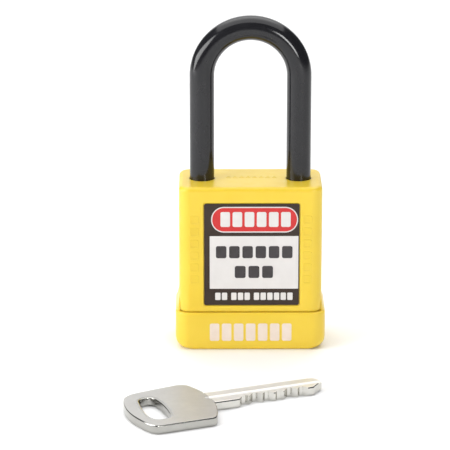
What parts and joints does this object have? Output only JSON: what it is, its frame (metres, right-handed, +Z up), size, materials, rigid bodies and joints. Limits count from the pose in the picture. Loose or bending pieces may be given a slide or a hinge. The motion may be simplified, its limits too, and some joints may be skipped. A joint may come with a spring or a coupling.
{
  "type": "safety padlock",
  "caption": "Keyed safety padlock with a plastic body, base cap, write-on label and long round shackle, with its flat key beside it.",
  "frame": {"origin": "on the surface that the padlock stands on, at the middle of the footprint of padlock and key together", "axes": "+Z up along the shackle legs; the labelled front faces -Y; +X to the right seen from the front, from the heel leg to the toe leg"},
  "size_m": [0.0526, 0.0842, 0.089],
  "materials": {
    "housing": "satin moulded thermoplastic, yellow",
    "label": "satin printed film",
    "shackle_bar": "semi-gloss black coating on steel",
    "block": "machined",
    "zinc": "die cast",
    "brass": "turned",
    "steel": "hardened, bright",
    "key_metal": "nickel-plated, tumbled"
  },
  "bodies": {
    "padlock": {"outer_shell": "housing", "base_cap": "housing", "front_label": "label", "back_label": "label", "lock_block": "block", "cam_chamber_cover": "zinc", "ball_bore_cover": "zinc", "pin_chamber_cover": "brass", "shackle_spring": "steel", "shackle_retaining_pin": "steel", "driver_pin_1": "brass", "driver_pin_2": "brass", "driver_pin_3": "brass", "driver_pin_4": "brass", "driver_pin_5": "brass", "driver_pin_6": "brass", "pin_spring_1": "steel", "pin_spring_2": "steel", "pin_spring_3": "steel", "pin_spring_4": "steel", "pin_spring_5": "steel", "pin_spring_6": "steel"},
    "shackle": {"shackle": "shackle_bar", "spring_cup": "steel"},
    "plug": {"plug": "brass", "plug_clip": "steel", "cam": "zinc", "key_pin_1": "brass", "key_pin_2": "brass", "key_pin_3": "brass", "key_pin_4": "brass", "key_pin_5": "brass", "key_pin_6": "brass"},
    "heel_ball": {"heel_ball": "steel"},
    "toe_ball": {"toe_ball": "steel"},
    "key": {"key": "key_metal"}
  },
  "joints": [
    {"name": "shackle_lift", "type": "slide", "parent": "padlock", "child": "shackle", "axis": [0, 0, 1], "range_m": [0, 0.0115], "deforming": ["shackle_spring"]},
    {"name": "plug_turn", "type": "hinge", "parent": "padlock", "child": "plug", "pos_m": [0.00631, 0.03146, 0], "axis": [0, 0, 1], "range_deg": [0, 90]},
    {"name": "heel_ball_slide", "type": "slide", "parent": "padlock", "child": "heel_ball", "axis": [-1, 0, 0], "range_m": [0, 0.00135]},
    {"name": "toe_ball_slide", "type": "slide", "parent": "padlock", "child": "toe_ball", "axis": [1, 0, 0], "range_m": [0, 0.00135]},
    {"name": "key_lift", "type": "slide", "parent": "padlock", "child": "key", "axis": [0, 0, 1], "range_m": [0, 0.06]}
  ],
  "couplings": [
    {"joint": "heel_ball_slide", "follows": "plug_turn", "m_per_rad": 0.000859},
    {"joint": "toe_ball_slide", "follows": "plug_turn", "m_per_rad": 0.000859}
  ]
}
